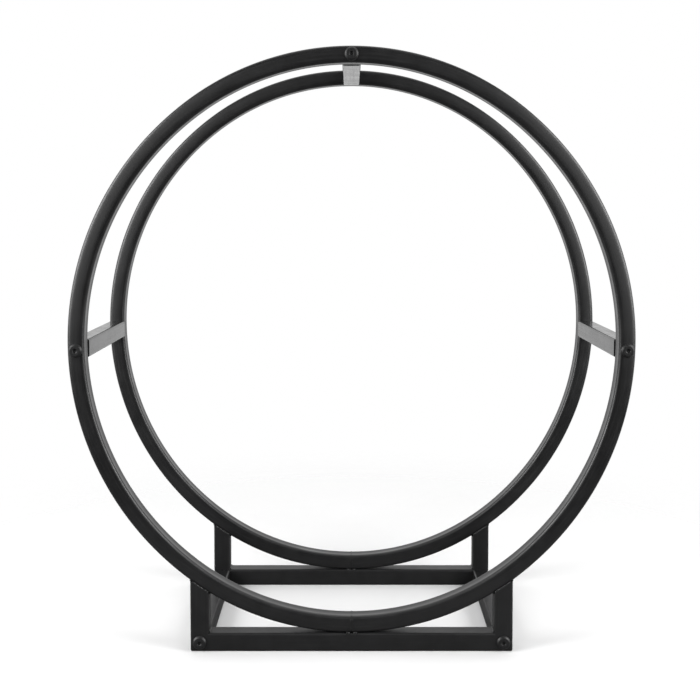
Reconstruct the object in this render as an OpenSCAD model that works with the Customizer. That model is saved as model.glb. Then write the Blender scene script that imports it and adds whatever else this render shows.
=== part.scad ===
// Standing rack for firewood logs.
// Two roll-bent rings of square steel tube stand on two low rectangular base frames.
// Five crossbars bolt the front and rear halves together. Millimetres, +Z up.
// The origin is on the ground, under the middle of the rack. The front faces -Y.

/* [Rings] */
// Outer width of each ring
ring_w = 610; // [590:5:640]
// Outer height of each ring, a little more than its width
ring_h = 633; // [620:1:650]
// Thickness of a ring between its bent walls, which the rolling has drawn in
ring_tube = 18.2; // [17:0.1:20]
// How far the inner wall of the tube is dished by the rolling
dish = 0.8; // [0.3:0.1:1.2]

/* [Base] */
// Outer width of the base
base_w = 350; // [280:5:350]
// Radius of the dressed lower corners of the base
base_corner_r = 2.7; // [1:0.1:4]

/* [Tube] */
// Side of the square tube
tube = 20; // [18:1:22]
// Wall of the square tube
wall = 1.2; // [1:0.1:1.5]
// Outer corner radius of the square tube
corner_r = 2.5; // [2:0.1:3]

/* [Crossbars] */
// Depth of the rack over the faces of the two rings
depth = 220; // [160:10:300]
// How far the side crossbars sit below the middle of the rings
side_bar_drop = 8; // [0:1:40]

/* [Fasteners] */
// Thread size of the bolts
thread_d = 6; // [5:1:6]
// Clearance hole in the tube walls
bolt_hole_d = 6.5; // [6.4:0.1:7]
// Length of the bolts under the head
bolt_length = 35; // [30:5:40]
// Diameter of the bolt heads
head_d = 15; // [12:0.5:16]
// Height of the bolt heads
head_h = 2.8; // [2.2:0.1:3.5]
// Width across the flats of the hexagon socket
socket_af = 4; // [3:0.5:5]

/* [Threaded inserts] */
// Thickness of the flange between crossbar and ring
flange_t = 2; // [1:0.5:3]
// Depth of the plug inside the crossbar
plug_depth = 20; // [16:1:30]
// Gap between the plug and the inner walls of the crossbar
plug_gap = 0.1; // [0.05:0.05:0.3]

/* [Welds] */
// Radius of the fillet beads in the corners
fillet_r = 1.8; // [1.2:0.1:2.4]
// How far a dressed bead stands above the face it crosses
bead_crown = 0.35; // [0.2:0.05:0.6]

/* [Output] */
// Sub-part to draw

/* [Hidden] */
$fn = 96;
ring_fn = 256;

coat_color = [0.09, 0.09, 0.095];
bar_color = [0.2, 0.2, 0.21];
insert_color = [0.05, 0.05, 0.05];
bolt_color = [0.07, 0.07, 0.075];
weld_color = [0.12, 0.12, 0.125];

half = tube / 2;
ring_half = ring_tube / 2;
face = depth / 2;

// Each ring is an oval of four arcs that meet on lines sloped 3 across to 4 up.
// Its two side arcs are wider than its top and bottom arcs, so it is taller than wide.
arc_run = 0.6;
arc_rise = 0.8;
stretch = (ring_h - ring_w) / 2 / (arc_run + arc_rise - 1);
side_off = arc_run * stretch;
cap_off = arc_rise * stretch;
side_r = ring_w / 2 + side_off;
cap_r = ring_h / 2 - cap_off;
ring_z = tube + ring_h / 2;
low_centre_z = ring_z - cap_off;
reach = 600;

// The rolled inner wall is an arc of this radius across the flat of the tube.
dish_half = half - corner_r - 0.5;
dish_r = (dish_half * dish_half + dish * dish) / (2 * dish);

// Centres of the five crossbars, as distances from the middle plane and the ground
side_bar_x = sqrt(pow(side_r - ring_half, 2) - pow(side_bar_drop, 2)) - side_off;
side_bar_z = ring_z - side_bar_drop;
top_bar_z = ring_z + ring_h / 2 - ring_half;
base_bar_x = base_w / 2 - half;
bar_length = depth - 2 * tube - 2 * flange_t;

// Heights where the sides of a post meet the underside of the ring
post_outer_z = low_centre_z - sqrt(pow(cap_r, 2) - pow(base_w / 2, 2));
post_inner_z = low_centre_z - sqrt(pow(cap_r, 2) - pow(base_w / 2 - tube, 2));

// A w by h section with rounded corners
module rounded_box(w, h, r) {
    square([w - 2 * r, h], center = true);
    square([w, h - 2 * r], center = true);
    for (x = [-1, 1], y = [-1, 1])
        translate([x * (w / 2 - r), y * (h / 2 - r)])
            circle(r);
}

module tube_section() {
    difference() {
        rounded_box(tube, tube, corner_r);
        rounded_box(tube - 2 * wall, tube - 2 * wall, corner_r - wall);
    }
}

// The section of a ring, with the dished wall toward the middle of the ring
module ring_outline() {
    difference() {
        rounded_box(ring_tube, tube, corner_r);
        translate([dish - ring_half - dish_r, 0])
            circle(dish_r, $fn = ring_fn);
    }
}

module ring_section() {
    difference() {
        ring_outline();
        difference() {
            rounded_box(ring_tube - 2 * wall, tube - 2 * wall, corner_r - wall);
            translate([dish - ring_half - dish_r, 0])
                circle(dish_r + wall, $fn = ring_fn);
        }
    }
}

// A full turn of the ring's section, whose outer wall has radius r
module full_turn(r, filled) {
    rotate_extrude($fn = ring_fn)
        translate([r - ring_half, 0])
            if (filled) ring_outline(); else ring_section();
}

module side_arc(filled) {
    intersection() {
        translate([-side_off, 0, 0])
            full_turn(side_r, filled);
        linear_extrude(2 * tube, center = true)
            polygon([
                [-side_off, 0],
                [arc_run * reach - side_off, -arc_rise * reach],
                [reach, 0],
                [arc_run * reach - side_off, arc_rise * reach],
            ]);
    }
}

module cap_arc(filled) {
    intersection() {
        translate([0, cap_off, 0])
            full_turn(cap_r, filled);
        linear_extrude(2 * tube, center = true)
            polygon([
                [0, cap_off],
                [arc_run * reach - side_off, arc_rise * reach],
                [side_off - arc_run * reach, arc_rise * reach],
            ]);
    }
}

// The ring lying in the XZ plane around the origin
module ring_loop() {
    rotate([90, 0, 0])
        for (flip = [0, 1]) {
            mirror([flip, 0, 0])
                side_arc(false);
            mirror([0, flip, 0])
                cap_arc(false);
        }
}

// The lower arc of the front ring without its hollow, to fit the welds against
module lower_arc_filled() {
    translate([0, half - face, ring_z])
        rotate([90, 0, 0])
            mirror([0, 1, 0])
                cap_arc(true);
}

// A hole along Y through a whole tube of the front half
module bolt_hole(x, z) {
    translate([x, tube - face + 1, z])
        rotate([90, 0, 0])
            cylinder(d = bolt_hole_d, h = tube + 2);
}

module front_ring_body() {
    difference() {
        translate([0, half - face, ring_z])
            ring_loop();
        bolt_hole(0, top_bar_z);
        bolt_hole(-side_bar_x, side_bar_z);
        bolt_hole(side_bar_x, side_bar_z);
    }
}

// Everything under the ring's lower arc, for the curved cut at the top of a post
module under_ring() {
    translate([0, 1, low_centre_z])
        rotate([90, 0, 0])
            cylinder(r = cap_r, h = 2 * face, $fn = ring_fn);
}

// The space outside the dressed lower left corner of the base
module corner_dressing() {
    translate([-base_w / 2, 1, 0])
        rotate([90, 0, 0])
            linear_extrude(2 * face)
                difference() {
                    translate([-1, -1])
                        square(base_corner_r + 1);
                    translate([base_corner_r, base_corner_r])
                        circle(base_corner_r);
                }
}

// The half space on the post's side of the left mitre, as a large turned block
module left_post_side() {
    translate([-base_w / 2, 0, 0])
        rotate([0, 45, 0])
            translate([-2 * reach, -reach, -reach])
                cube([2 * reach, 2 * reach, 2 * reach]);
}

// A rail of the front half before its ends are cut, with or without its hollow
module rail_blank(filled) {
    translate([-base_w / 2, half - face, half])
        rotate([90, 0, 90])
            linear_extrude(base_w)
                if (filled) rounded_box(tube, tube, corner_r); else tube_section();
}

module front_rail_body() {
    difference() {
        rail_blank(false);
        for (flip = [0, 1])
            mirror([flip, 0, 0]) {
                left_post_side();
                corner_dressing();
                bolt_hole(-base_bar_x, half);
            }
    }
}

// The front left post before its foot is mitred, with its top cut to the ring
module post_blank(filled) {
    difference() {
        translate([-base_bar_x, half - face, 0])
            linear_extrude(post_outer_z + tube)
                if (filled) rounded_box(tube, tube, corner_r); else tube_section();
        under_ring();
    }
}

module front_left_post_body() {
    difference() {
        intersection() {
            post_blank(false);
            left_post_side();
        }
        corner_dressing();
        bolt_hole(-base_bar_x, half);
    }
}

// A crossbar tube along Y, centred on the origin
module crossbar() {
    translate([0, bar_length / 2, 0])
        rotate([90, 0, 0])
            linear_extrude(bar_length)
                tube_section();
}

// A plug with a tapped bore whose flange closes the front end of a crossbar.
// The flange lies against the back of the front ring or base.
module end_insert() {
    plug = tube - 2 * wall - 2 * plug_gap;
    plug_r = corner_r - wall - plug_gap;
    rotate([90, 0, 0])
        difference() {
            union() {
                translate([0, 0, -flange_t])
                    linear_extrude(flange_t)
                        rounded_box(tube, tube, corner_r);
                translate([0, 0, -flange_t - plug_depth])
                    linear_extrude(plug_depth)
                        rounded_box(plug, plug, plug_r);
            }
            translate([0, 0, -flange_t - plug_depth - 1])
                cylinder(d = thread_d, h = plug_depth + flange_t + 2);
        }
}

// A low-head bolt, with its seat at the origin and its shank along +Y
module bolt() {
    shoulder_r = head_d / 2;
    shoulder_h = head_h * 0.32;
    flat_r = shoulder_r - 2;
    drop = (pow(shoulder_r, 2) + pow(shoulder_h, 2) - pow(flat_r, 2) - pow(head_h, 2))
        / (2 * (head_h - shoulder_h));
    dome_r = sqrt(pow(flat_r, 2) + pow(head_h + drop, 2));
    socket_r = socket_af / 2 / cos(30);
    socket_depth = 2.2;
    tip = 0.8;
    rotate([90, 0, 0]) {
        difference() {
            rotate_extrude()
                intersection() {
                    square([shoulder_r, head_h]);
                    translate([0, -drop])
                        circle(dome_r);
                }
            translate([0, 0, head_h - socket_depth])
                cylinder(r = socket_r, h = socket_depth + 1, $fn = 6);
            translate([0, 0, head_h - 0.5])
                cylinder(r1 = socket_r - 0.1, r2 = socket_r + 0.4, h = 0.5);
        }
        rotate_extrude()
            polygon([
                [0, 0],
                [thread_d / 2, 0],
                [thread_d / 2, tip - bolt_length],
                [thread_d / 2 - tip, -bolt_length],
                [0, -bolt_length],
            ]);
    }
}

// A bead across a face: the part of a round bar that stands above it by bead_crown.
// The bar runs along Z from the origin and the face looks toward -Y.
module dressed_bead(length) {
    bar_r = 2.6;
    translate([0, bar_r - bead_crown, 0])
        cylinder(r = bar_r, h = length, $fn = ring_fn);
}

// A straight stand-in for the bottom of the front ring, whose curve is slight there
module ring_bottom(length) {
    translate([-length / 2, half - face, tube + ring_half])
        rotate([90, 0, 90])
            linear_extrude(length)
                rotate(-90)
                    ring_outline();
}

// The closing weld of the front ring: one run on the front, one on the back and one inside
module front_ring_butt_weld_body() {
    low = tube + corner_r + 1;
    run = ring_tube - 2 * corner_r - 1;
    inner_r = 2.8;
    inner_z = tube + ring_tube + bead_crown - inner_r;
    difference() {
        union() {
            translate([0, -face, low])
                dressed_bead(run);
            translate([0, tube - face, low])
                rotate([0, 0, 180])
                    dressed_bead(run);
            translate([0, corner_r - face - 1, inner_z])
                rotate([-90, 0, 0])
                    cylinder(r = inner_r, h = tube - 2 * corner_r + 2, $fn = ring_fn);
        }
        ring_bottom(tube);
    }
}

// Short beads in the grooves where the ring lies on the rail, front and back
module front_ring_rail_weld_body() {
    bead_r = 2.2;
    bead_l = 16;
    difference() {
        for (y = [bead_r - 0.2, tube - bead_r + 0.2])
            translate([-bead_l / 2, y - face, tube])
                rotate([0, 90, 0])
                    cylinder(r = bead_r, h = bead_l);
        ring_bottom(tube);
        rail_blank(true);
    }
}

// Fillets in the corners on both sides of the front left post, under the ring
module front_left_post_weld_body() {
    run = tube - 2 * corner_r;
    difference() {
        union() {
            translate([-base_w / 2, tube - corner_r - face, post_outer_z])
                rotate([90, 0, 0])
                    cylinder(r = fillet_r, h = run);
            translate([tube - base_w / 2, tube - corner_r - face, post_inner_z])
                rotate([90, 0, 0])
                    cylinder(r = fillet_r, h = run);
        }
        lower_arc_filled();
        post_blank(true);
    }
}

// A fillet in the inner corner between the front left post and the rail
module front_left_corner_weld_body() {
    difference() {
        translate([tube - base_w / 2, tube - corner_r - face, tube])
            rotate([90, 0, 0])
                cylinder(r = fillet_r, h = tube - 2 * corner_r);
        rail_blank(true);
        post_blank(true);
    }
}

// Places for the parts that repeat: side is -1 for left and 1 for right
module to_right() {
    mirror([1, 0, 0])
        children();
}

module to_rear() {
    mirror([0, 1, 0])
        children();
}

module at_front_bar(x, z) {
    translate([x, -face, z])
        children();
}

module insert_at(x, z) {
    color(insert_color)
        translate([x, tube - face, z])
            end_insert();
}

module bolt_at(x, z) {
    color(bolt_color)
        at_front_bar(x, z)
            bolt();
}

module crossbar_at(x, z) {
    color(bar_color)
        translate([x, 0, z])
            crossbar();
}

// Rings
module front_ring() color(coat_color) front_ring_body();
module rear_ring() color(coat_color) to_rear() front_ring_body();

// Base frames
module front_rail() color(coat_color) front_rail_body();
module rear_rail() color(coat_color) to_rear() front_rail_body();
module front_left_post() color(coat_color) front_left_post_body();
module front_right_post() color(coat_color) to_right() front_left_post_body();
module rear_left_post() color(coat_color) to_rear() front_left_post_body();
module rear_right_post() color(coat_color) to_rear() to_right() front_left_post_body();

// Crossbars
module top_crossbar() crossbar_at(0, top_bar_z);
module left_crossbar() crossbar_at(-side_bar_x, side_bar_z);
module right_crossbar() crossbar_at(side_bar_x, side_bar_z);
module base_left_crossbar() crossbar_at(-base_bar_x, half);
module base_right_crossbar() crossbar_at(base_bar_x, half);

// Threaded inserts in the ends of the crossbars
module front_top_insert() insert_at(0, top_bar_z);
module front_left_insert() insert_at(-side_bar_x, side_bar_z);
module front_right_insert() insert_at(side_bar_x, side_bar_z);
module front_base_left_insert() insert_at(-base_bar_x, half);
module front_base_right_insert() insert_at(base_bar_x, half);
module rear_top_insert() to_rear() insert_at(0, top_bar_z);
module rear_left_insert() to_rear() insert_at(-side_bar_x, side_bar_z);
module rear_right_insert() to_rear() insert_at(side_bar_x, side_bar_z);
module rear_base_left_insert() to_rear() insert_at(-base_bar_x, half);
module rear_base_right_insert() to_rear() insert_at(base_bar_x, half);

// Bolts through the rings and base corners into the inserts
module front_top_bolt() bolt_at(0, top_bar_z);
module front_left_bolt() bolt_at(-side_bar_x, side_bar_z);
module front_right_bolt() bolt_at(side_bar_x, side_bar_z);
module front_base_left_bolt() bolt_at(-base_bar_x, half);
module front_base_right_bolt() bolt_at(base_bar_x, half);
module rear_top_bolt() to_rear() bolt_at(0, top_bar_z);
module rear_left_bolt() to_rear() bolt_at(-side_bar_x, side_bar_z);
module rear_right_bolt() to_rear() bolt_at(side_bar_x, side_bar_z);
module rear_base_left_bolt() to_rear() bolt_at(-base_bar_x, half);
module rear_base_right_bolt() to_rear() bolt_at(base_bar_x, half);

// Welds
module front_ring_butt_weld() color(weld_color) front_ring_butt_weld_body();
module rear_ring_butt_weld() color(weld_color) to_rear() front_ring_butt_weld_body();
module front_ring_rail_weld() color(weld_color) front_ring_rail_weld_body();
module rear_ring_rail_weld() color(weld_color) to_rear() front_ring_rail_weld_body();
module front_left_post_weld() color(weld_color) front_left_post_weld_body();
module front_right_post_weld() color(weld_color) to_right() front_left_post_weld_body();
module rear_left_post_weld() color(weld_color) to_rear() front_left_post_weld_body();
module rear_right_post_weld()
    color(weld_color) to_rear() to_right() front_left_post_weld_body();
module front_left_corner_weld() color(weld_color) front_left_corner_weld_body();
module front_right_corner_weld() color(weld_color) to_right() front_left_corner_weld_body();
module rear_left_corner_weld() color(weld_color) to_rear() front_left_corner_weld_body();
module rear_right_corner_weld()
    color(weld_color) to_rear() to_right() front_left_corner_weld_body();

front_ring();
rear_ring();
front_rail();
rear_rail();
front_left_post();
front_right_post();
rear_left_post();
rear_right_post();
top_crossbar();
left_crossbar();
right_crossbar();
base_left_crossbar();
base_right_crossbar();
front_top_insert();
front_left_insert();
front_right_insert();
front_base_left_insert();
front_base_right_insert();
rear_top_insert();
rear_left_insert();
rear_right_insert();
rear_base_left_insert();
rear_base_right_insert();
front_top_bolt();
front_left_bolt();
front_right_bolt();
front_base_left_bolt();
front_base_right_bolt();
rear_top_bolt();
rear_left_bolt();
rear_right_bolt();
rear_base_left_bolt();
rear_base_right_bolt();
front_ring_butt_weld();
rear_ring_butt_weld();
front_ring_rail_weld();
rear_ring_rail_weld();
front_left_post_weld();
front_right_post_weld();
rear_left_post_weld();
rear_right_post_weld();
front_left_corner_weld();
front_right_corner_weld();
rear_left_corner_weld();
rear_right_corner_weld();
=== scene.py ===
"""Looks of a standing log rack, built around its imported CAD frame. Metres, +Z up, front to -Y."""

import math

import bpy
import numpy as np
from mathutils import Matrix, Vector, noise


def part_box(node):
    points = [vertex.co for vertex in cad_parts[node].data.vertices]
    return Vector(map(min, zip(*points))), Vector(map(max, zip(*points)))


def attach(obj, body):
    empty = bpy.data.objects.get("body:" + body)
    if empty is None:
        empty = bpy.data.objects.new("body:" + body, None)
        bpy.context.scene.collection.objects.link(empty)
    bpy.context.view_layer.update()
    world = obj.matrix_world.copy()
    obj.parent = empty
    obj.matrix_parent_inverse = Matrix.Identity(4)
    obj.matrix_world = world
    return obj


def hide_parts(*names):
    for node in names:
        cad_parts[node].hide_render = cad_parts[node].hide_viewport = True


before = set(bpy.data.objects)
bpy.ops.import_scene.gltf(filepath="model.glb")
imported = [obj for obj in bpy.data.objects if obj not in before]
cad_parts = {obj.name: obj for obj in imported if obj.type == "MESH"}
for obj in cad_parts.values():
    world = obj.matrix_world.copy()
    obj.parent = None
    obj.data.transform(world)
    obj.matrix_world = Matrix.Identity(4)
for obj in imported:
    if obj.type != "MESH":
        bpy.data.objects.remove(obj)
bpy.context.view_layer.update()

MM = 0.001

# The rack's two ends, and the sign of Y at each
ENDS = (("front", -1), ("rear", 1))

# Sizes that the boxes of the nodes give
ring_lo, ring_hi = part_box("front_ring")
rail_lo, rail_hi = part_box("front_rail")
head_lo, head_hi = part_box("front_top_bolt")
FACE = -ring_lo.y
TUBE = rail_hi.z - rail_lo.z
BASE_HALF = rail_hi.x
RING_W = ring_hi.x - ring_lo.x
RING_H = ring_hi.z - ring_lo.z
RING_Z = (ring_hi.z + ring_lo.z) / 2
HEAD_R = (head_hi.x - head_lo.x) / 2
HEAD_H = -FACE - head_lo.y

# Sizes that the boxes don't give, as in part.scad
RING_TUBE = 18.2 * MM
CORNER_R = 2.5 * MM
DISH = 0.8 * MM
SOCKET_AF = 4 * MM

# The oval is four arcs. Where two arcs meet, their normal runs ARC_RUN across and ARC_RISE up.
ARC_RUN, ARC_RISE = 0.6, 0.8
JOINT = math.atan2(ARC_RISE, ARC_RUN)
STRETCH = (RING_H - RING_W) / 2 / (ARC_RUN + ARC_RISE - 1)
SIDE_OFF = ARC_RUN * STRETCH
CAP_OFF = ARC_RISE * STRETCH
SIDE_R = RING_W / 2 + SIDE_OFF
CAP_R = RING_H / 2 - CAP_OFF


# ---------------------------------------------------------------- node materials

class Nodes:
    """Short calls for the nodes of one material. A scale is in features a metre."""

    def __init__(self, name):
        self.mat = bpy.data.materials.new(name)
        self.mat.use_nodes = True
        self.tree = self.mat.node_tree
        self.tree.nodes.clear()
        self.out = self.new("ShaderNodeOutputMaterial")
        self.coords = self.new("ShaderNodeTexCoord").outputs["Object"]

    def new(self, kind, **settings):
        node = self.tree.nodes.new(kind)
        for key, value in settings.items():
            setattr(node, key, value)
        return node

    def link(self, a, b):
        self.tree.links.new(a, b)

    def split(self):
        node = self.new("ShaderNodeSeparateXYZ")
        self.link(self.coords, node.inputs[0])
        return node.outputs["X"], node.outputs["Y"], node.outputs["Z"]

    def radius(self, a, b):
        square = self.math("ADD", self.math("MULTIPLY", a, a), self.math("MULTIPLY", b, b))
        return self.math("SQRT", square, 0)

    def stretched(self, scale):
        node = self.new("ShaderNodeMapping")
        node.inputs["Scale"].default_value = scale
        self.link(self.coords, node.inputs["Vector"])
        return node.outputs["Vector"]

    def round_the_ring(self, across, along):
        """Coordinates that are stretched along the ring: distance from its middle, depth and turn."""
        x, y, z = self.split()
        high = self.math("SUBTRACT", z, RING_Z)
        turn = self.math("ARCTAN2", self.math("ABSOLUTE", x, 0), high)
        node = self.new("ShaderNodeCombineXYZ")
        self.link(self.math("MULTIPLY", self.radius(x, high), across), node.inputs["X"])
        self.link(self.math("MULTIPLY", y, across), node.inputs["Y"])
        self.link(self.math("MULTIPLY", turn, along), node.inputs["Z"])
        return node.outputs[0]

    def noise(self, scale, detail=3.0, rough=0.5, vector=None):
        node = self.new("ShaderNodeTexNoise")
        node.inputs["Scale"].default_value = scale
        node.inputs["Detail"].default_value = detail
        node.inputs["Roughness"].default_value = rough
        self.link(vector or self.coords, node.inputs["Vector"])
        return node.outputs["Fac"]

    def cells(self, scale):
        node = self.new("ShaderNodeTexVoronoi")
        node.inputs["Scale"].default_value = scale
        self.link(self.coords, node.inputs["Vector"])
        return node.outputs["Distance"]

    def span(self, value, low, high, to_low, to_high):
        """The value eased from the range low to high into the range to_low to to_high."""
        node = self.new("ShaderNodeMapRange", interpolation_type="SMOOTHSTEP")
        self.link(value, node.inputs["Value"])
        for key, number in (("From Min", low), ("From Max", high), ("To Min", to_low), ("To Max", to_high)):
            node.inputs[key].default_value = number
        return node.outputs["Result"]

    def math(self, operation, a, b):
        node = self.new("ShaderNodeMath", operation=operation)
        for socket, value in zip(node.inputs, (a, b)):
            if isinstance(value, (int, float)):
                socket.default_value = value
            else:
                self.link(value, socket)
        return node.outputs[0]

    def blend(self, factor, a, b):
        node = self.new("ShaderNodeMix", data_type="RGBA")
        self.link(factor, node.inputs[0])
        for socket, value in ((node.inputs[6], a), (node.inputs[7], b)):
            if isinstance(value, tuple):
                socket.default_value = (*value, 1)
            else:
                self.link(value, socket)
        return node.outputs[2]

    def bump(self, height, distance, under=None):
        node = self.new("ShaderNodeBump")
        node.inputs["Strength"].default_value = 1.0
        node.inputs["Distance"].default_value = distance
        self.link(height, node.inputs["Height"])
        if under is not None:
            self.link(under, node.inputs["Normal"])
        return node.outputs["Normal"]

    def principled(self, colour, rough, ior):
        node = self.new("ShaderNodeBsdfPrincipled")
        self.link(colour, node.inputs["Base Color"])
        self.link(rough, node.inputs["Roughness"])
        node.inputs["IOR"].default_value = ior
        return node

    def finish(self, colour, rough, normal, ior):
        node = self.principled(colour, rough, ior)
        self.link(normal, node.inputs["Normal"])
        self.link(node.outputs[0], self.out.inputs["Surface"])
        return self.mat


# How the tube's drawing lines run: stretched along an axis of straight tube, or the numbers of
# Nodes.round_the_ring. A weld or an insert has even specks in place of lines.
ALONG_X, ALONG_Y, ALONG_Z = (9, 900, 900), (900, 9, 900), (900, 900, 9)
ROUND_THE_RING = (620, 5)
EVEN = (300, 300, 300)
PEEL_DEPTH, LINE_DEPTH = 0.012 * MM, 0.007 * MM


def powder_coat(name, dark, light, rough, ior, run):
    """Black powder coat: orange peel, cured grain, a few dust nibs and slightly uneven gloss.

    The drawing lines show through it, in the direction that run gives."""
    n = Nodes(name)
    grain = n.noise(2600, 2, 0.6)
    peel = n.noise(520, 2, 0.45)
    nibs = n.span(n.cells(240), 0.035, 0.075, 1.0, 0.0)
    rare = n.span(n.noise(95, 1), 0.62, 0.7, 0.0, 1.0)
    nibs = n.math("MULTIPLY", nibs, rare)
    way = n.round_the_ring(*run) if run is ROUND_THE_RING else n.stretched(run)
    lines = n.noise(1.0, 4, 0.7, way)
    wide, fine = n.noise(9, 2), n.noise(75, 3, 0.6)
    drift = n.math("ADD", n.math("MULTIPLY", wide, 0.5), n.math("MULTIPLY", fine, 0.5))

    worn_line = tuple(2.2 * c for c in light)
    nib_top = tuple(6 * c for c in light)
    tone = n.blend(n.span(drift, 0.38, 0.62, 0, 1), dark, light)
    tone = n.blend(n.span(lines, 0.5, 0.75, 0.0, 0.5), tone, worn_line)
    tone = n.blend(n.math("MULTIPLY", nibs, 0.5), tone, nib_top)

    gloss = n.span(n.noise(38, 4, 0.6), 0.3, 0.7, rough - 0.035, rough + 0.035)
    gloss = n.math("ADD", gloss, n.span(grain, 0.3, 0.7, -0.03, 0.03))
    gloss = n.math("ADD", gloss, n.span(lines, 0.3, 0.7, -0.04, 0.05))

    height = n.math("ADD", peel, n.math("MULTIPLY", grain, 0.10))
    height = n.math("ADD", height, n.math("MULTIPLY", nibs, 0.8))
    normal = n.bump(height, PEEL_DEPTH)
    normal = n.bump(lines, LINE_DEPTH, under=normal)
    return n.finish(tone, gloss, normal, ior)


def bolt_finish():
    """Blackened steel with the fine rings that turning leaves on the head."""
    pitch, ring_height = 0.35 * MM, 0.12
    n = Nodes("blackened_bolt")
    x, _, z = n.split()
    rings = n.math("SINE", n.math("MULTIPLY", n.radius(x, z), 2 * math.pi / pitch), 0)
    mottle = n.noise(700, 4, 0.6)
    tone = n.blend(n.span(mottle, 0.3, 0.7, 0, 1), (0.005, 0.005, 0.0053), (0.012, 0.012, 0.0125))
    gloss = n.span(mottle, 0.25, 0.75, 0.40, 0.52)
    normal = n.bump(n.math("ADD", n.math("MULTIPLY", rings, ring_height), mottle), PEEL_DEPTH)
    return n.finish(tone, gloss, normal, ior=1.45)


DARK, LIGHT = (0.0068, 0.0068, 0.0071), (0.0098, 0.0098, 0.0102)
# The upper crossbars take a lighter copy of the black coat that the base bars have. The extra lightness is
# painted light for the glare on their faces.
BAR_DARK, BAR_LIGHT = (0.0095, 0.0095, 0.010), (0.014, 0.014, 0.0145)
# The inserts take a lighter copy of the black coat too. This is painted light that lifts the shaded strip
# where a crossbar meets its ring.
INSERT_DARK, INSERT_LIGHT = (0.0085, 0.0085, 0.0088), (0.012, 0.012, 0.0124)

# Name, darkest and lightest tone, roughness, IOR and the run of the lines
RING_COAT = powder_coat("ring_powder_coat", DARK, LIGHT, 0.36, 1.5, ROUND_THE_RING)
RAIL_COAT = powder_coat("rail_powder_coat", DARK, LIGHT, 0.42, 1.44, ALONG_X)
POST_COAT = powder_coat("post_powder_coat", DARK, LIGHT, 0.42, 1.44, ALONG_Z)
BASE_BAR_COAT = powder_coat("base_bar_powder_coat", DARK, LIGHT, 0.36, 1.4, ALONG_Y)
BAR_COAT = powder_coat("crossbar_powder_coat", BAR_DARK, BAR_LIGHT, 0.21, 1.5, ALONG_Y)
WELD_COAT = powder_coat("weld_powder_coat", DARK, LIGHT, 0.36, 1.46, EVEN)
INSERT_COAT = powder_coat("insert_coat", INSERT_DARK, INSERT_LIGHT, 0.27, 1.48, EVEN)
BOLT_STEEL = bolt_finish()


# ---------------------------------------------------------------- meshes and pieces

def smooth_normals(points, quads):
    """One normal per point, from its faces weighted by their areas."""
    a, b, c, d = (points[quads[:, i]] for i in range(4))
    weighted = np.cross(c - a, d - b)
    total = np.zeros_like(points)
    for i in range(4):
        np.add.at(total, quads[:, i], weighted)
    length = np.linalg.norm(total, axis=1, keepdims=True)
    return total / np.maximum(length, 1e-12)


def mesh_over(name, grids, material, closed=False):
    """One mesh over grids of points (along, around, xyz), closed around and closed or capped along."""
    points, normals, faces = [], [], []
    first = 0
    for grid in grids:
        along, around, _ = grid.shape
        i, j = np.meshgrid(np.arange(along if closed else along - 1), np.arange(around), indexing="ij")
        i2, j2 = (i + 1) % along, (j + 1) % around
        corners = [i * around + j, i * around + j2, i2 * around + j2, i2 * around + j]
        quads = np.stack(corners, -1).reshape(-1, 4)
        flat = grid.reshape(-1, 3)
        points += flat.tolist()
        normals += smooth_normals(flat, quads).tolist()
        faces += (quads + first).tolist()
        if not closed:
            last = first + (along - 1) * around
            faces.append(list(range(first, first + around))[::-1])
            faces.append(list(range(last, last + around)))
        first = len(points)
    mesh = bpy.data.meshes.new(name)
    mesh.from_pydata(points, [], faces)
    mesh.validate()
    mesh.polygons.foreach_set("use_smooth", [True] * len(mesh.polygons))
    mesh.normals_split_custom_set_from_vertices(normals)
    mesh.materials.append(material)
    return mesh


def add_piece(name, mesh, replaced, place=None):
    """An object with this mesh, which stands for a CAD node."""
    obj = bpy.data.objects.new(name, mesh)
    bpy.context.scene.collection.objects.link(obj)
    if place is not None:
        obj.matrix_world = place
    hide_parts(replaced)
    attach(obj, "root")


# ---------------------------------------------------------------- rings

# How the normal turns along the ring tube's wall, from the middle of its outer wall to the middle
# of its inner one: (distance in mm, degrees). 90 looks outward, 0 forward and -90 inward.
WALL_TURN = [(0, 90), (6.2, 90), (7.0, 80), (8.6, 50), (10.4, 27), (12.2, 13), (14.5, 6), (18.5, 2),
             (21.0, -3), (23.0, -13), (24.6, -40), (27.6, -84), (28.8, -94), (31.0, -96), (33.0, -92),
             (37.5, -91)]

# Rolled walls wander by these depths, in waves of these numbers a metre round and across the ring.
# The wander starts from nothing at the outer wall, and is whole at RUN_IN below it.
WANDER, SWAY = 0.035 * MM, 0.03 * MM
WAVES_ROUND, WAVES_ACROSS = 28, 60
RUN_IN = 2 * MM


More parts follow.
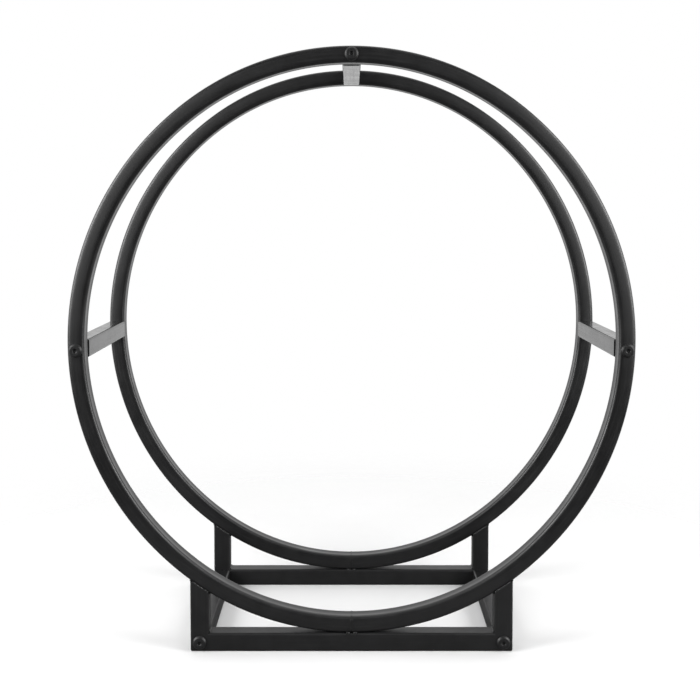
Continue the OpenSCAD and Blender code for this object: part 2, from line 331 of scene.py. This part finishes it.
def ring_section():
    """The ring tube's outline as (depth below the outer wall, place along Y).

    Rolling has drawn the corners round, crowned the flanks and dished the inner wall."""
    step, far_enough, window = 0.05, 48, 15
    points, radian_mm = 62, 18.2
    distance, degrees = zip(*WALL_TURN)
    turn = np.radians(np.interp(np.arange(0, far_enough, step), distance, degrees))
    edge = window // 2
    turn[edge:-edge] = np.convolve(turn, np.ones(window) / window, "valid")
    u = np.concatenate([[0], np.cumsum(np.cos(turn))]) * step
    y = -np.concatenate([[0], np.cumsum(np.sin(turn))]) * step

    # Half the outline ends where it comes back to the middle, and takes the tube's own size
    front = int(np.argmin(y))
    y *= -TUBE / 2 / y[front]
    end = front + int(np.argmax(y[front:] >= 0))
    u, y = u[: end + 1] * RING_TUBE / u[: end + 1].max(), y[: end + 1]
    y[-1] = 0.0

    # A bend of a radian takes as many points as radian_mm of straight wall
    bend = np.abs(np.diff(turn[: end + 1], prepend=turn[0]))
    share = np.cumsum(bend * radian_mm + step)
    picks = np.unique(np.searchsorted(share, np.linspace(share[0], share[-1], points)))
    picks = picks[picks <= end]
    picks[-1] = end
    half = np.stack([u[picks], y[picks]], 1)
    other = half[1:-1][::-1] * np.array([1, -1])
    return np.concatenate([half, other])[::-1]


def oval_steps(per_degree=2):
    """(x, z, normal x, normal z) once round the outer wall, with the middle of the oval as origin."""
    joint = math.degrees(JOINT)
    arcs = [
        (-SIDE_OFF, 0, SIDE_R, -joint, joint),
        (0, CAP_OFF, CAP_R, joint, 180 - joint),
        (SIDE_OFF, 0, SIDE_R, 180 - joint, 180 + joint),
        (0, -CAP_OFF, CAP_R, 180 + joint, 360 - joint),
    ]
    steps = []
    for cx, cz, r, start, end in arcs:
        count = int((end - start) * per_degree)
        for k in range(count):
            t = math.radians(start + (end - start) * k / count)
            c, s = math.cos(t), math.sin(t)
            steps.append((cx + r * c, cz + r * s, c, s))
    return np.array(steps)


def make_ring(end, side):
    """A roll-bent ring. Its outer wall keeps its place and its faces only sink in, so that it stays
    inside the CAD's box."""
    section, steps = ring_section(), oval_steps()
    grid = np.zeros((len(steps), len(section), 3))
    centre_y = side * (FACE - TUBE / 2)
    elsewhere = Vector((40, 0, 0))
    for a, (x, z, nx, nz) in enumerate(steps):
        for b, (u, y) in enumerate(section):
            place = Vector((x * WAVES_ROUND, (y + side) * WAVES_ACROSS, z * WAVES_ROUND))
            depth = u + WANDER * noise.noise(place) * min(1.0, u / RUN_IN)
            mid_face = 1 - abs(2 * u / RING_TUBE - 1)
            sway = SWAY * noise.noise(place + elsewhere) * mid_face
            sink = -math.copysign(abs(sway), y) if abs(y) > TUBE / 2 - CORNER_R / 2 else 0.0
            grid[a, b] = (x - nx * depth, centre_y + y + sink, RING_Z + z - nz * depth)
    name = f"{end}_ring_tube"
    add_piece(name, mesh_over(name, [grid], RING_COAT, closed=True), f"{end}_ring")


for end, side in ENDS:
    make_ring(end, side)


# ---------------------------------------------------------------- bolts

# How far the front and the rear bolt of each crossbar are turned, in radians
BOLT_TURNS = {"top": (0, 0), "left": (1.4, 3.2), "right": (0, 1.8),
              "base_left": (1.4, 3.2), "base_right": (0, 1.8)}


def bolt_head_grid():
    """A low head with eased edges and a hexagon socket. Its seat is at the origin and it faces -Y."""
    around = 96
    shoulder_h, flat_r = 0.32 * HEAD_H, HEAD_R - 2 * MM
    drop = (HEAD_R ** 2 + shoulder_h ** 2 - flat_r ** 2 - HEAD_H ** 2) / (2 * (HEAD_H - shoulder_h))
    dome_r = math.hypot(flat_r, HEAD_H + drop)
    edge, past_shoulder = 0.35 * MM, 0.02
    first = math.atan2(shoulder_h + drop, HEAD_R) + past_shoulder
    last = math.atan2(HEAD_H + drop, flat_r) - edge / dome_r

    # (radius, height) from the seat up the side, over the dome and in across the flat
    profile = [(HEAD_R - 0.25 * MM, 0.0), (HEAD_R - 0.05 * MM, 0.06 * MM), (HEAD_R, 0.2 * MM)]
    profile += [(HEAD_R, shoulder_h - 0.25 * MM), (HEAD_R - 0.04 * MM, shoulder_h - 0.06 * MM)]
    profile += [(dome_r * math.cos(t), dome_r * math.sin(t) - drop) for t in np.linspace(first, last, 9)]
    profile += [(flat_r - edge * 0.35, HEAD_H - 0.03 * MM), (flat_r - edge, HEAD_H)]
    profile += [(r, HEAD_H) for r in np.linspace(flat_r - 0.8 * MM, 3.2 * MM, 4)]

    # The chamfer's (way in from the round rim to the hexagon, drop in mm), and the socket's
    # (share of the hexagon, depth in mm), down to the cone that the drill left
    chamfer = [(0.0, 0.0), (0.12, 0.03), (1.0, 0.42)]
    socket = [(0.985, 0.5), (0.98, 1.2), (0.98, 2.0), (0.93, 2.2), (0.6, 2.35), (0.2, 2.55), (0.02, 2.6)]
    rim = SOCKET_AF / 2 / math.cos(math.pi / 6) + 0.38 * MM

    def hexagon(t):
        """Distance from the socket's middle to its wall, at this turn."""
        return SOCKET_AF / 2 / math.cos((t % (math.pi / 3)) - math.pi / 6)

    turns = [2 * math.pi * k / around for k in range(around)]
    loops = [([r] * around, h) for r, h in profile]
    loops += [([rim + (hexagon(t) - rim) * share for t in turns], HEAD_H - d * MM) for share, d in chamfer]
    loops += [([hexagon(t) * share for t in turns], HEAD_H - d * MM) for share, d in socket]
    return np.array([[(r * math.cos(t), -h, r * math.sin(t)) for r, t in zip(radii, turns)]
                     for radii, h in loops])


def make_bolts():
    mesh = mesh_over("bolt_head", [bolt_head_grid()], BOLT_STEEL)
    for place, turns in BOLT_TURNS.items():
        for (end, side), turn in zip(ENDS, turns):
            node = f"{end}_{place}_bolt"
            lo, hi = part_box(node)
            spot = Matrix.Translation(((lo.x + hi.x) / 2, side * FACE, (lo.z + hi.z) / 2))
            facing = Matrix.Rotation(0 if side < 0 else math.pi, 4, "Z")
            seat = spot @ facing @ Matrix.Rotation(turn, 4, "Y")
            add_piece(f"{node}_head", mesh, node, seat)


make_bolts()


# ---------------------------------------------------------------- welds

# Weld runs are made for the front left, and mirrored to the other places. A fillet runs as far as
# RUN to the front and the rear of MID_Y, where the tubes' corners start.
MID_Y = TUBE / 2 - FACE
RUN = TUBE / 2 - CORNER_R
OUTER_X, INNER_X = -BASE_HALF, TUBE - BASE_HALF

# The sizes of each kind of run
FACE_SEAM = dict(across_r=1.5 * MM, up_r=0.38 * MM, pitch=1.1 * MM)
INNER_SEAM = dict(across_r=1.7 * MM, up_r=0.62 * MM, pitch=1.2 * MM)
SEAT_TACK = dict(across_r=1.5 * MM, up_r=2.6 * MM, pitch=1.5 * MM, lumps=0.3)
POST_FILLET = dict(across_r=1.75 * MM, up_r=1.6 * MM, pitch=1.25 * MM)
POST_SEAM = dict(across_r=1.5 * MM, up_r=1.5 * MM, pitch=1.6 * MM, lumps=0.28)
CORNER_FILLET = dict(across_r=1.75 * MM, up_r=1.2 * MM, pitch=1.25 * MM)


def bead(path, up, seed, across_r, up_r, pitch, lumps=0.12):
    """Grid of a weld run: an oval rod along the path whose back is stacked with curved ripples.

    The oval's radii are across_r and up_r, and the ripples are pitch apart."""
    around, step = 28, 0.16 * MM
    ripple_height, ripple_bow, ripple_lean = 0.11, 0.45, 0.8
    lump_length, seed_step = 3 * MM, 7.3
    path = [Vector(p) for p in path]
    up = Vector(up).normalized()
    length = sum((b - a).length for a, b in zip(path, path[1:]))
    count = max(12, int(length / step))
    loops = []
    for k in range(count + 1):
        s = k / count
        f = s * (len(path) - 1)
        a = min(int(f), len(path) - 2)
        point = path[a].lerp(path[a + 1], f - a)
        side = (path[a + 1] - path[a]).normalized().cross(up).normalized()

        # The ends are round, and the run is lumpy along its length
        to_end = min(s, 1 - s) * length
        ease = min(1.0, to_end / (across_r * 0.9))
        taper = max(0.05, math.sqrt(max(0.0, 1 - (1 - ease) ** 2)))
        wobble = 1 + lumps * noise.noise(Vector((s * length / lump_length, seed * seed_step, 0)))
        waver = 0.25 * noise.noise(Vector((seed, s * 9, 0)))
        loop = []
        for j in range(around):
            t = 2 * math.pi * j / around
            c, h = math.cos(t), math.sin(t)
            phase = (s * length + ripple_bow * pitch * c * c) / pitch + waver
            ripple = 0.5 - 0.5 * math.cos(2 * math.pi * (phase % 1.0) ** ripple_lean)
            swell = 1 + ripple_height * (ripple - 0.5) * max(0.0, h)
            loop.append(point + side * (across_r * c * taper * wobble)
                        + up * (up_r * h * taper * wobble * swell))
        loops.append([tuple(p) for p in loop])
    return np.array(loops)


def under_ring(x):
    """Height of the front ring's outer wall, low on the ring at x."""
    return RING_Z - CAP_OFF - math.sqrt(CAP_R ** 2 - x * x)


def butt_beads(seed):
    """The seam that closes the ring, on its front, rear and inner walls."""
    low, high = TUBE + CORNER_R + 1 * MM, TUBE + RING_TUBE - CORNER_R
    inner_wall, edge_in = TUBE + RING_TUBE, CORNER_R - 0.5 * MM
    over = [(0, edge_in - FACE, inner_wall - 0.3 * MM),
            (0, MID_Y, inner_wall - DISH - 0.05 * MM),
            (0, TUBE - edge_in - FACE, inner_wall - 0.3 * MM)]
    return [
        bead([(0, -FACE, low), (0, -FACE, high)], (0, -1, 0), seed, **FACE_SEAM),
        bead([(0, TUBE - FACE, low), (0, TUBE - FACE, high)], (0, 1, 0), seed + 1, **FACE_SEAM),
        bead(over, (0, 0, 1), seed + 2, **INNER_SEAM),
    ]


def seat_beads(seed):
    """Two short tacks on each side of the ring, halfway up the gap that it leaves over its rail."""
    recess = 3.0 * MM
    tacks = ((-6.2 * MM, -1.2 * MM), (1.6 * MM, 6.4 * MM))
    beads = []
    for y, face in ((recess, -1), (TUBE - recess, 1)):
        for k, (start, stop) in enumerate(tacks):
            path = [(x, y - FACE, TUBE + x * x / (4 * CAP_R)) for x in np.linspace(start, stop, 7)]
            beads.append(bead(path, (0, face, 0), seed + 3 + face + 0.37 * k, **SEAT_TACK))
    return beads


def post_beads(seed):
    """Fillets at the outer and inner side of a post's top, and lumpy seams between them."""
    recess, inset, sunk = 1.55 * MM, 1.2 * MM, 0.1 * MM
    beads = []
    for x, out in ((OUTER_X, -1), (INNER_X, 1)):
        path = [(x, MID_Y - RUN, under_ring(x)), (x, MID_Y + RUN, under_ring(x))]
        beads.append(bead(path, (out, 0, -0.35), seed + out, **POST_FILLET))
    for y, face in ((recess, -1), (TUBE - recess, 1)):
        xs = np.linspace(OUTER_X + inset, INNER_X - inset, 15)
        path = [(x, y - FACE, under_ring(x) - sunk) for x in xs]
        beads.append(bead(path, (0, face, 0), seed + 7 + face, **POST_SEAM))
    return beads


def corner_beads(seed):
    """The fillet between a post and its rail."""
    path = [(INNER_X, MID_Y - RUN, TUBE), (INNER_X, MID_Y + RUN, TUBE)]
    return [bead(path, (1, 0, 1), seed + 4, **CORNER_FILLET)]


def mirrored(grid, x, y):
    """The grid mirrored across the middle planes, with its faces still looking outward."""
    out = grid * np.array([x, y, 1])
    return out if x * y > 0 else out[:, ::-1]


def make_welds():
    for (end, side), seed in zip(ENDS, (3, 11)):
        runs = [("ring_butt", 1, butt_beads(seed)), ("ring_rail", 1, seat_beads(seed))]
        for hand, x_sign, hand_seed in (("left", 1, seed + 5), ("right", -1, seed + 6)):
            runs.append((f"{hand}_post", x_sign, post_beads(hand_seed)))
            runs.append((f"{hand}_corner", x_sign, corner_beads(hand_seed)))
        for place, x_sign, beads in runs:
            name = f"{end}_{place}_bead"
            grids = [mirrored(grid, x_sign, -side) for grid in beads]
            add_piece(name, mesh_over(name, grids, WELD_COAT), f"{end}_{place}_weld")


make_welds()


# ---------------------------------------------------------------- CAD nodes that stay

def dress(node, material):
    """Gives a CAD node this material in place of its own."""
    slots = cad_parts[node].data.materials
    slots.clear()
    slots.append(material)


for end, _ in ENDS:
    dress(f"{end}_rail", RAIL_COAT)
    for hand in ("left", "right"):
        dress(f"{end}_{hand}_post", POST_COAT)
    for place in BOLT_TURNS:
        dress(f"{end}_{place}_insert", INSERT_COAT)
for place in ("top", "left", "right"):
    dress(f"{place}_crossbar", BAR_COAT)
for place in ("base_left", "base_right"):
    dress(f"{place}_crossbar", BASE_BAR_COAT)


# ---------------------------------------------------------------- floor, light and camera

# The floor is whole out to FADE_START from the origin, and clear from FADE_END
FLOOR_R, FADE_START, FADE_END = 3.5, 0.26, 0.85

# The world's light in front of and behind the rack, and the Y of the directions it changes between
FRONT_LIGHT, BACK_LIGHT = 0.05, 1.0
FRONT_Y, BACK_Y = -0.1, 0.35

# Place, target, width, height and watts
SOFT_BOXES = {
    "overhead_light": ((0, 0.1, 2.2), (0, 0.1, 0.2), 1.6, 1.6, 9),
    "left_fill": ((-1.25, -1.45, 0.85), (0, 0, 0.33), 1.5, 1.2, 9.5),
    "right_fill": ((1.25, -1.45, 0.85), (0, 0, 0.33), 1.5, 1.2, 9),
    "left_light": ((-1.75, -0.7, 1.0), (0, 0, 0.33), 0.85, 1.5, 44),
    "right_light": ((1.75, -0.7, 1.0), (0, 0, 0.33), 0.85, 1.5, 41),
}

# The photo's camera looks level and has a large shift. This one tilts down a little, and needs less.
CAMERA_PLACE, CAMERA_TILT = (-1.7 * MM, -1224.3 * MM, 481.1 * MM), 0.0487
LENS, SENSOR, SHIFT = 53.826, 36, -0.13


def make_floor():
    """Bright to the camera, dim in reflections and as bounced light, and faded out all round."""
    n = Nodes("pale_floor")
    shade = n.blend(n.span(n.noise(3.0, 3), 0.3, 0.7, 0, 1), (0.76, 0.76, 0.76), (0.775, 0.775, 0.775))
    gloss = n.span(n.noise(40, 2), 0.3, 0.7, 0.55, 0.65)
    surface = n.principled(shade, gloss, ior=1.3)
    dim = n.new("ShaderNodeBsdfDiffuse")
    n.link(n.blend(n.noise(3.0, 3), (0.19, 0.19, 0.19), (0.22, 0.22, 0.22)), dim.inputs["Color"])
    seen = n.new("ShaderNodeMixShader")
    n.link(n.new("ShaderNodeLightPath").outputs["Is Camera Ray"], seen.inputs[0])
    n.link(dim.outputs[0], seen.inputs[1])
    n.link(surface.outputs[0], seen.inputs[2])
    away = n.new("ShaderNodeVectorMath", operation="LENGTH")
    n.link(n.coords, away.inputs[0])
    both = n.new("ShaderNodeMixShader")
    n.link(n.span(away.outputs["Value"], FADE_START, FADE_END, 0, 1), both.inputs[0])
    n.link(seen.outputs[0], both.inputs[1])
    n.link(n.new("ShaderNodeBsdfTransparent").outputs[0], both.inputs[2])
    n.link(both.outputs[0], n.out.inputs["Surface"])
    count = 96
    turns = np.linspace(0, 2 * math.pi, count, endpoint=False)
    rim = [(FLOOR_R * math.cos(t), FLOOR_R * math.sin(t), 0) for t in turns]
    mesh = bpy.data.meshes.new("floor")
    mesh.from_pydata(rim, [], [range(count)])
    mesh.materials.append(n.mat)
    floor = bpy.data.objects.new("floor", mesh)
    bpy.context.scene.collection.objects.link(floor)


def make_world():
    """Even white to the camera. As light it is bright behind the rack, and dims towards the front."""
    world = bpy.data.worlds.new("studio")
    bpy.context.scene.world = world
    world.use_nodes = True
    nodes, link = world.node_tree.nodes, world.node_tree.links.new
    nodes.clear()
    split = nodes.new("ShaderNodeSeparateXYZ")
    link(nodes.new("ShaderNodeTexCoord").outputs["Generated"], split.inputs[0])
    ramp = nodes.new("ShaderNodeMapRange")
    ramp.interpolation_type = "SMOOTHSTEP"
    link(split.outputs["Y"], ramp.inputs["Value"])
    for key, number in (("From Min", FRONT_Y), ("From Max", BACK_Y),
                        ("To Min", FRONT_LIGHT), ("To Max", BACK_LIGHT)):
        ramp.inputs[key].default_value = number
    light, seen = nodes.new("ShaderNodeBackground"), nodes.new("ShaderNodeBackground")
    light.inputs["Color"].default_value = seen.inputs["Color"].default_value = (1, 1, 1, 1)
    link(ramp.outputs["Result"], light.inputs["Strength"])
    seen.inputs["Strength"].default_value = 1.0
    both = nodes.new("ShaderNodeMixShader")
    link(nodes.new("ShaderNodeLightPath").outputs["Is Camera Ray"], both.inputs[0])
    link(light.outputs[0], both.inputs[1])
    link(seen.outputs[0], both.inputs[2])
    link(both.outputs[0], nodes.new("ShaderNodeOutputWorld").inputs["Surface"])


def soft_box(name, place, target, width, height, watts):
    """A rectangular light that looks at its target, and that the camera doesn't see."""
    data = bpy.data.lights.new(name, "AREA")
    data.shape = "RECTANGLE"
    data.size, data.size_y = width, height
    data.energy = watts
    box = bpy.data.objects.new(name, data)
    bpy.context.scene.collection.objects.link(box)
    box.location = place
    box.rotation_euler = (Vector(target) - Vector(place)).to_track_quat("-Z", "Y").to_euler()
    box.visible_camera = False


def make_camera():
    data = bpy.data.cameras.new("camera")
    data.sensor_width = SENSOR
    data.lens = LENS
    data.shift_y = SHIFT
    camera = bpy.data.objects.new("camera", data)
    bpy.context.scene.collection.objects.link(camera)
    camera.location = CAMERA_PLACE
    camera.rotation_euler = (math.pi / 2 - CAMERA_TILT, 0, 0)
    bpy.context.scene.camera = camera


make_floor()
make_world()
for name, facts in SOFT_BOXES.items():
    soft_box(name, *facts)
make_camera()
bpy.context.scene.view_settings.view_transform = "Standard"
